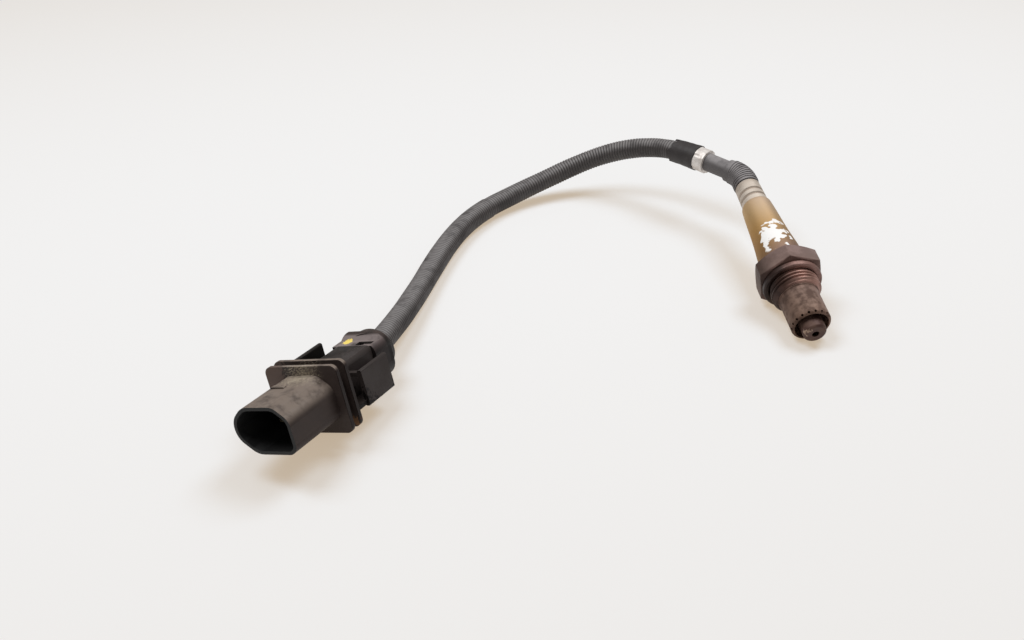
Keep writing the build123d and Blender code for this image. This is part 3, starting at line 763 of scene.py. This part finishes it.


# %% [markdown]
# Heat tint and soot follow the distance from the exhaust, and painted shade follows the distance
# across a side or along the plug, so the last group measures how far a point lies along an axis. A
# colour ramp over that distance then gives the tint.

# %% The station along an axis
def station_group():
    """How far a point lies from an origin along an axis, in millimetres."""
    group, inside, outside = new_group(
        "station_along", [("Origin", VECTOR), ("Axis", VECTOR)], [("Station", NUMBER)]
    )
    place = add_node(group, "TexCoord")
    shift = add_node(group, "VectorMath", operation="SUBTRACT")
    along = add_node(group, "VectorMath", operation="DOT_PRODUCT")
    in_mm = add_node(group, "Math", {1: 1 / MM}, operation="MULTIPLY")
    group.links.new(place.outputs["Object"], shift.inputs[0])
    group.links.new(inside.outputs["Origin"], shift.inputs[1])
    group.links.new(shift.outputs["Vector"], along.inputs[0])
    group.links.new(inside.outputs["Axis"], along.inputs[1])
    group.links.new(along.outputs["Value"], in_mm.inputs[0])
    group.links.new(in_mm.outputs[0], outside.inputs["Station"])
    return group


blotches = blotch_group()
dust_and_top_light = dust_and_top_light_group()
dab = dab_group()
station_along = station_group()
print("shared groups:", [group.name for group in (blotches, dust_and_top_light, dab, station_along)])

# %% [markdown]
# A layer is a function that takes the colour so far and gives the next one, with a mask where
# it covers the metal. A finish is then a list of layers, which reads in the order in which a
# real surface gets them.

# %% Layers of dust, paint and tint


def grouped(tree, group, values, colour):
    """Put a colour through a node group."""
    node = tree.nodes.new("ShaderNodeGroup")
    node.node_tree = group
    for key, value in values.items():
        node.inputs[key].default_value = value
    tree.links.new(colour, node.inputs["Colour"])
    return node.outputs["Colour"], node.outputs.get("Mask")


def dust_and_painted_top_light(tone, amount):
    """Layer of dust on what faces up, which is also painted light on the tops."""
    values = {"Dust": (*tone, 1), "Amount": amount}
    return lambda tree, colour: grouped(tree, dust_and_top_light, values, colour)


def paint_and_shading_dab(tone, centre, radius, ragged=0.3, scale=900.0):
    """Layer with one dab of colour, for paint, stains, painted light and painted shade; its centre
    and radius are in millimetres.
    """
    values = {
        "Paint": (*tone, 1),
        "Centre": Vector(centre) * MM,
        "Radius": radius * MM,
        "Ragged": ragged,
        "Scale": scale,
    }
    return lambda tree, colour: grouped(tree, dab, values, colour)


def tint(stops, origin=seat, axis=nose):
    """Layer that multiplies the colour by tones at given stations along an axis."""
    low, high = stops[0][0], stops[-1][0]

    def layer(tree, colour):
        where = tree.nodes.new("ShaderNodeGroup")
        where.node_tree = station_along
        where.inputs["Origin"].default_value = origin
        where.inputs["Axis"].default_value = axis
        share = add_node(tree, "MapRange", {"From Min": low, "From Max": high})
        ramp = add_node(tree, "ValToRGB")
        ramp.color_ramp.elements[0].color = (*stops[0][1], 1)
        ramp.color_ramp.elements[1].color = (*stops[-1][1], 1)
        for run, tone in stops[1:-1]:
            ramp.color_ramp.elements.new((run - low) / (high - low)).color = (*tone, 1)
        full = add_node(tree, "Value")
        full.outputs[0].default_value = 1
        tree.links.new(where.outputs["Station"], share.inputs["Value"])
        tree.links.new(share.outputs["Result"], ramp.inputs["Fac"])
        return mixed(tree, full.outputs[0], colour, ramp.outputs["Color"], "MULTIPLY"), None

    return layer


# %% [markdown]
# Painted shade darkens the grooves of the hose. The tube's UV holds the distance along it in
# millimetres, so the cosine that shaped the ribs also finds their grooves.

# %% A layer for the grooves of the hose
groove_shade_tone = (0.012, 0.011, 0.011)
groove_shade_strength = 0.7


def painted_groove_shade(tree, colour):
    """Layer of painted shade that darkens the grooves between the ribs of a rolled tube."""
    uv = add_node(tree, "UVMap")
    split = add_node(tree, "SeparateXYZ")
    phase = add_node(tree, "Math", {1: 2 * math.pi / rib_pitch}, operation="MULTIPLY")
    wave = add_node(tree, "Math", operation="COSINE")
    depth = add_node(
        tree, "MapRange", {"From Min": 0.1, "From Max": -1.0, "To Max": groove_shade_strength}
    )
    groove = add_node(tree, "RGB")
    groove.outputs[0].default_value = (*groove_shade_tone, 1)
    tree.links.new(uv.outputs["UV"], split.inputs["Vector"])
    tree.links.new(split.outputs["Y"], phase.inputs[0])
    tree.links.new(phase.outputs[0], wave.inputs[0])
    tree.links.new(wave.outputs[0], depth.inputs["Value"])
    return mixed(tree, depth.outputs["Result"], colour, groove.outputs[0]), None


# %% [markdown]
# All finishes share one recipe: blotches, then the layers, an unevenness of the gloss that
# follows the blotches, and a fine grain as bump. Paint on metal isn't metallic, so a layer that
# covers the metal also takes the metallic value away.

# %% One recipe for every finish
gloss_spread = 0.2


def finish_material(
    name,
    colour,
    blotch,
    scale=150,
    amount=0.6,
    metallic=0.0,
    roughness=0.5,
    specular=0.5,
    grain=0.03,
    grain_scale=1500,
    layers=(),
):
    """Principled finish with blotches, layers, uneven gloss and a fine bump."""
    material = bpy.data.materials.new(name)
    material.use_nodes = True
    tree = material.node_tree
    shader = tree.nodes["Principled BSDF"]
    shader.inputs["Metallic"].default_value = metallic
    shader.inputs["Specular IOR Level"].default_value = specular
    spots = tree.nodes.new("ShaderNodeGroup")
    spots.node_tree = blotches
    spots.inputs["Colour"].default_value = (*colour, 1)
    spots.inputs["Blotch"].default_value = (*blotch, 1)
    spots.inputs["Scale"].default_value = scale
    spots.inputs["Amount"].default_value = amount
    dullest = min(1.0, roughness + gloss_spread)
    gloss = add_node(tree, "MapRange", {"To Min": roughness, "To Max": dullest})
    place = add_node(tree, "TexCoord")
    fine = add_node(tree, "TexNoise", {"Scale": grain_scale, "Detail": 4})
    bump = add_node(tree, "Bump", {"Strength": 1.0, "Distance": grain * MM})
    link = tree.links.new
    tone = spots.outputs["Colour"]
    for layer in layers:
        tone, cover = layer(tree, tone)
        if cover is not None and metallic > 0:
            bare = add_node(tree, "MapRange", {"To Min": metallic, "To Max": 0.0})
            link(cover, bare.inputs["Value"])
            link(bare.outputs["Result"], shader.inputs["Metallic"])
    link(tone, shader.inputs["Base Color"])
    link(spots.outputs["Mask"], gloss.inputs["Value"])
    link(gloss.outputs["Result"], shader.inputs["Roughness"])
    link(place.outputs["Object"], fine.inputs["Vector"])
    link(fine.outputs["Fac"], bump.inputs["Height"])
    link(bump.outputs["Normal"], shader.inputs["Normal"])
    return material


def dress(piece, *materials):
    """Give a piece its materials."""
    piece.data.materials.clear()
    for material in materials:
        piece.data.materials.append(material)


# %% [markdown]
# ## The steel of the head
#
# The body is steel that has run hot. The hexagon keeps a grey-brown skin, and its face under the
# ring and the shank are redder and darker. On the hexagon, the shank and the ring the left side is
# darker than the right: that is painted shade, from tints that follow the head's side.

# %% Steel of the hexagon, the shank and the ring
head_side = head.to_3x3() @ Vector((1, 0, 0))
# Painted shade that darkens the left side of the hexagon.
left_side_painted_shade = [
    (-11, (0.3, 0.26, 0.23)),
    (-7.5, (0.75, 0.7, 0.68)),
    (0, (0.95, 0.9, 0.9)),
    (9, (1, 1, 1)),
]
hexagon_steel = finish_material(
    "hexagon_steel",
    (0.285, 0.215, 0.195),
    (0.155, 0.11, 0.095),
    metallic=0.5,
    roughness=0.55,
    layers=[
        tint(
            [
                (-8, (1.05, 1, 1)),
                (-1.2, (1, 0.95, 0.92)),
                (-0.7, (0.5, 0.37, 0.33)),
                (1.5, (0.4, 0.28, 0.24)),
            ]
        ),
        tint(left_side_painted_shade, axis=head_side),
    ],
)
# Painted shade, deeper still, on the left side of the shank and the ring.
thread_left_painted_shade = [
    (-9, (0.09, 0.07, 0.06)),
    (-6, (0.18, 0.15, 0.13)),
    (-1, (0.95, 0.95, 0.95)),
    (9, (1, 1, 1)),
]
thread_steel = finish_material(
    "thread_steel",
    (0.37, 0.205, 0.165),
    (0.19, 0.105, 0.083),
    scale=260,
    amount=0.8,
    metallic=0.5,
    roughness=0.42,
    layers=[tint(thread_left_painted_shade, axis=head_side)],
)
sooty_steel_with_painted_shade = finish_material(
    "sooty_steel_with_painted_shade",
    (0.27, 0.15, 0.125),
    (0.12, 0.066, 0.054),
    scale=260,
    metallic=0.45,
    roughness=0.42,
    layers=[tint(thread_left_painted_shade, axis=head_side)],
)
# %% [markdown]
# The two protection tubes sit in the exhaust itself, so they are dull, scaled and mottled. The
# outer one is darker at its shoulder and round its mouth, and a tint across it gives painted light
# on its right side and painted shade on its left. The inner one is nearly black, with one lighter
# dab of painted light on the lower left of its end.

# %% Steel of the protection tubes
boss_steel = finish_material(
    "boss_steel",
    (0.065, 0.029, 0.022),
    (0.12, 0.068, 0.05),
    scale=300,
    amount=0.9,
    metallic=0.4,
    roughness=0.5,
    # Painted light: a lighter beige dab on the lower left of the inner tube's end.
    layers=[paint_and_shading_dab((0.3, 0.2, 0.14), (-2.9, -50.6, 7.0), 2.0, 0.9, 900.0)],
)
tube_steel = finish_material(
    "tube_steel",
    (0.25, 0.178, 0.147),
    (0.11, 0.07, 0.056),
    scale=300,
    amount=0.9,
    metallic=0.45,
    roughness=0.6,
    layers=[
        tint(
            [
                (8, (0.6, 0.48, 0.42)),
                (10, (0.9, 0.82, 0.78)),
                (19, (0.95, 0.86, 0.78)),
                (22.3, (0.62, 0.5, 0.42)),
            ]
        ),
        # Painted light and shade: the tube is lighter and cooler on its right side and darker on
        # its left.
        tint([(-8, (0.7, 0.66, 0.62)), (0, (1, 1, 1)), (8, (1.4, 1.42, 1.5))], axis=head_side),
    ],
)
# %% [markdown]
# Heat draws a band of oxide colours along thin steel: brown near the hexagon, straw further back,
# and almost bare metal on the crimp. The sleeve's colour comes from its tints alone, on a white
# base: the heat tint along it, and a painted reflection across it, yellower and darker on the left
# and greyer on the right. White marking paint lies on it in one ragged dab.

# %% Steel of the sleeve and the crimp
straw_steel = finish_material(
    "straw_steel",
    (1.0, 1.0, 1.0),
    (0.78, 0.74, 0.72),
    scale=60,
    metallic=0.6,
    roughness=0.58,
    grain=0.01,
    layers=[
        tint(
            [
                (-42, (0.60, 0.45, 0.32)),
                (-34, (0.55, 0.39, 0.235)),
                (-26, (0.50, 0.32, 0.15)),
                (-16, (0.35, 0.215, 0.11)),
                (-8, (0.25, 0.165, 0.145)),
            ]
        ),
        # Painted reflection: across the sleeve, yellower and darker on its left side and greyer on
        # its right.
        tint([(-8, (0.9, 0.78, 0.45)), (-2, (1, 1, 1)), (8, (0.8, 0.8, 0.84))], axis=head_side),
        paint_and_shading_dab((0.9, 0.88, 0.86), (-1.6, -8.4, 23.5), 8.9, 0.75, 300.0),
    ],
)
bright_steel = finish_material(
    "bright_steel",
    (0.62, 0.545, 0.47),
    (0.47, 0.40, 0.335),
    metallic=0.55,
    roughness=0.6,
    grain=0.01,
    layers=[
        tint(
            [
                (-53, (0.8, 0.78, 0.76)),
                (-49, (1, 1, 1)),
                # Painted shade: the two darker bands lie in the crimp's grooves.
                (-48, (0.6, 0.54, 0.5)),
                (-47, (1, 1, 1)),
                (-45.8, (1, 1, 1)),
                (-44.8, (0.6, 0.54, 0.5)),
                (-43.8, (1, 1, 1)),
                (-39, (0.95, 0.9, 0.85)),
            ]
        )
    ],
)
# %% [markdown]
# The boot is dusty rubber, and its dust on top is also painted light there. The shrunk sleeve is a
# darker plastic, and the band is a matt foil with a coarse grain from its crumples.

# %% Boot, shrunk sleeve and band
boot_rubber = finish_material(
    "boot_rubber",
    (0.092, 0.084, 0.084),
    (0.135, 0.123, 0.123),
    scale=180,
    amount=0.5,
    roughness=0.55,
    layers=[dust_and_painted_top_light((0.27, 0.25, 0.25), 0.85)],
)
wrap_plastic = finish_material(
    "wrap_plastic", (0.024, 0.019, 0.0185), (0.055, 0.047, 0.046), amount=0.5, roughness=0.55
)
band_foil = finish_material(
    "band_foil",
    (0.78, 0.73, 0.69),
    (0.5, 0.44, 0.4),
    scale=420,
    amount=0.6,
    metallic=0.3,
    roughness=0.4,
    grain=0.08,
    grain_scale=700,
)

# %% [markdown]
# The hose is black plastic that is grey on top, from dust and from painted light on its upper side,
# and its grooves carry painted shade.

# %% Hose
hose_plastic = finish_material(
    "hose_plastic",
    (0.062, 0.053, 0.051),
    (0.034, 0.028, 0.027),
    scale=95,
    amount=0.8,
    roughness=0.48,
    layers=[dust_and_painted_top_light((0.215, 0.198, 0.194), 0.85), painted_groove_shade],
)
# %% [markdown]
# ## The plastic of the plug
#
# The plug is black moulded plastic. Its socket and flanges carry dust, which also stands for
# painted light on their tops, and a few stains. The body behind the flanges is darkened by a tint
# along the plug's own axis, and a broad dark dab lies over it: both are painted shade. A tint
# across the plug darkens its right side with painted shade too.

# %% Plug housing
housing_plastic = finish_material(
    "housing_plastic",
    (0.036, 0.025, 0.022),
    (0.052, 0.038, 0.033),
    scale=110,
    amount=0.8,
    roughness=0.5,
    specular=0.22,
    layers=[
        dust_and_painted_top_light((0.24, 0.19, 0.155), 0.75),
        paint_and_shading_dab((0.42, 0.36, 0.27), (-173.7, -70.9, 23.8), 7.6, 1.6, 3600.0),
        paint_and_shading_dab((0.15, 0.075, 0.035), (-158.2, -76.9, 9.4), 2.2, 0.8, 700.0),
        paint_and_shading_dab((0.115, 0.078, 0.064), (-183.28, -63.06, 19.88), 6.0),
        # Painted shade: the body behind the flanges is darkened to a tenth.
        tint(
            [(-40, (0.1, 0.09, 0.09)), (-6.2, (0.1, 0.09, 0.09)), (-5.7, (1, 1, 1))],
            plug_origin,
            plug_mouth,
        ),
        # Painted shade: a broad dark dab over the body behind the flanges.
        paint_and_shading_dab((0.034, 0.026, 0.024), (-151.0, -60.0, 18.0), 13.0),
        # Painted shade: the plug's right side is darkened.
        tint(
            [(-14, (1, 1, 1)), (13.3, (1, 1, 1)), (13.8, (0.35, 0.3, 0.3))], plug_origin, plug_side
        ),
    ],
)
# %% [markdown]
# The cap at the rear is the same plastic with more dust, which also stands for painted light on its
# top, and one dab of yellow paint. Its rear rim and its right side are darkened by tints: painted
# shade.

# %% Rear cap
cap_plastic = finish_material(
    "cap_plastic",
    (0.035, 0.029, 0.028),
    (0.06, 0.05, 0.048),
    scale=120,
    amount=0.8,
    roughness=0.5,
    specular=0.22,
    layers=[
        dust_and_painted_top_light((0.27, 0.22, 0.21), 0.8),
        paint_and_shading_dab((0.86, 0.66, 0.16), (-159.4, -41.9, 14.9), 2.1),
        # Painted shade: the cap's rear rim is darkened.
        tint(
            [(-36.5, (0.25, 0.22, 0.2)), (-34.6, (0.25, 0.22, 0.2)), (-33.9, (1, 1, 1))],
            plug_origin,
            plug_mouth,
        ),
        # Painted shade: the cap's right side is darkened.
        tint([(-9, (1, 1, 1)), (6.0, (1, 1, 1)), (8.0, (0.4, 0.35, 0.35))], plug_origin, plug_side),
    ],
)
# %% [markdown]
# What sits inside is hardly seen, and it still gets its own finish: black plastic, fired
# ceramic and plated contacts.

# %% Inner pieces
inner_plastic = finish_material(
    "inner_plastic", (0.010, 0.010, 0.010), (0.016, 0.016, 0.016), specular=0.3
)
inner_ceramic = finish_material(
    "inner_ceramic", (0.70, 0.67, 0.60), (0.56, 0.53, 0.47), roughness=0.6, grain=0.01
)
contact_metal = finish_material(
    "contact_metal",
    (0.68, 0.60, 0.40),
    (0.48, 0.41, 0.27),
    scale=300,
    metallic=1,
    roughness=0.3,
)

# %% Dress every piece
finish_of_node = {
    "sealing_ring": sooty_steel_with_painted_shade,
    "outer_protection_tube": tube_steel,
    "inner_protection_tube": boss_steel,
    "crimp_sleeve": bright_steel,
    "cable_boot": boot_rubber,
    "boot_tail": boot_rubber,
    "plug_housing": housing_plastic,
    "rear_cap": cap_plastic,
    "hose_collar": inner_plastic,
    "contact_carrier": inner_plastic,
    "pin_lock": inner_plastic,
    "contact_pins": contact_metal,
    "contact_springs": contact_metal,
    "ceramic_element": inner_ceramic,
    "lower_insulator": inner_ceramic,
    "upper_insulator": inner_ceramic,
    "powder_seal": inner_ceramic,
    "contact_holder": inner_ceramic,
    "trim_resistor": inner_ceramic,
    "vent_membrane": inner_ceramic,
    "cable_grommet": boot_rubber,
    "wire_seal": boot_rubber,
    "sensor_leads": inner_plastic,
    "plug_leads": inner_plastic,
}
for node_name, material in finish_of_node.items():
    dress(nodes[node_name], material)
dress(hose, hose_plastic)
dress(wrap, wrap_plastic)
dress(band, band_foil)
dress(body, hexagon_steel, thread_steel)
dress(sleeve, straw_steel)
print(len(finish_of_node), "CAD nodes and 5 new pieces dressed")

# %% [markdown]
# The shank in front of the hexagon has run hot, so it is redder and darker than the rest of the
# sensor body. Its faces are the ones with a positive station, and they take the second finish.

# %% Keep the shank's finish apart
shank_slot = 1
to_head = head.inverted()
shank_faces = [face for face in body.data.polygons if (to_head @ face.center).z > 0]
for face in shank_faces:
    face.material_index = shank_slot
print(len(shank_faces), "faces on the shank")

# %% [markdown]
# The inside of the socket and its lip take the near-black finish of the inner pieces, with no dust
# on them: painted shade, darker than the housing's own plastic. The inner faces are the ones in
# front of the socket's floor that look towards the plug's axis, the lip's are the ones at the mouth
# that look out of it, and both take the black finish.

# %% Keep the socket's inside black
housing = nodes["plug_housing"]
housing.data.materials.append(inner_plastic)
to_plug = plug.inverted()
socket_floor_height = -1.6 * MM
lip_depth = 0.3 * MM
painted_shade_slot = 1
inner_faces = 0
for face in housing.data.polygons:
    place = to_plug @ face.center
    facing = to_plug.to_3x3() @ face.normal
    inner = place.z > socket_floor_height and place.xy.dot(facing.xy) < -0.2 * place.xy.length
    if inner or (place.z > plug_socket_length - lip_depth and facing.z > 0.9):
        face.material_index = painted_shade_slot
        inner_faces += 1
print(inner_faces, "black faces in the socket and on its lip")

# %% [markdown]
# ## The cord
#
# The hose is a fairly stiff cord, 233 mm from the boot's tail to the plug on its far end.

# %% [markdown]
# ## Floor and light
#
# The sensor lies on plain white paper under two soft lamps that hang high above it and a little
# behind it, one to the left of the plug and one to the right of the head. Each lamp is nearer
# to one end of the object, so the plug's shadow falls to the right and the head's to the left,
# and what faces the camera is darker than what faces up. A weak surround fills the shadows. The
# paper glows warmly and the lamps are cooler, as over a light table: where the object keeps the
# lamps off, the paper turns warm, and the shadows stay thin.

# %% The paper
floor_size = 4.0
paper_tone = (0.345, 0.425, 0.515, 1)
glow_tone = (1.0, 0.80, 0.58, 1)
glow_strength = 0.5
floor_mesh = bmesh.new()
bmesh.ops.create_grid(floor_mesh, x_segments=1, y_segments=1, size=floor_size / 2)
floor_data = bpy.data.meshes.new("floor")
floor_mesh.to_mesh(floor_data)
floor_mesh.free()
floor = bpy.data.objects.new("floor", floor_data)
bpy.context.scene.collection.objects.link(floor)
paper = bpy.data.materials.new("paper")
paper.use_nodes = True
paper_shader = paper.node_tree.nodes["Principled BSDF"]
paper_shader.inputs["Base Color"].default_value = paper_tone
paper_shader.inputs["Roughness"].default_value = 1.0
paper_shader.inputs["Specular IOR Level"].default_value = 0.0
paper_shader.inputs["Emission Color"].default_value = glow_tone
paper_shader.inputs["Emission Strength"].default_value = glow_strength
floor_data.materials.append(paper)
print("paper", floor_size, "m wide")

# %% Lamps and surround
lamp_size = 0.4
lamp_watts = 4.3
lamp_tone = (0.97, 0.985, 1.0)


def area_lamp(name, place, target):
    """Square area lamp that points at a target."""
    data = bpy.data.lights.new(name, "AREA")
    data.size = lamp_size
    data.energy = lamp_watts
    data.color = lamp_tone
    lamp = bpy.data.objects.new(name, data)
    bpy.context.scene.collection.objects.link(lamp)
    lamp.matrix_world = frame_matrix(Vector(place), Vector(place) - Vector(target), (1, 0, 0))


area_lamp("left_lamp", (-0.46, 0.06, 0.80), (-0.17, -0.03, 0.0))
area_lamp("right_lamp", (0.30, 0.16, 0.80), (0.0, 0.0, 0.0))
surround_tone = (1.0, 0.965, 0.925, 1)
surround_strength = 0.24
world = bpy.data.worlds.new("surround")
world.use_nodes = True
background = world.node_tree.nodes["Background"]
background.inputs["Color"].default_value = surround_tone
background.inputs["Strength"].default_value = surround_strength
bpy.context.scene.world = world
bpy.context.scene.view_settings.view_transform = "Standard"
print("two lamps of", lamp_watts, "W and a surround")
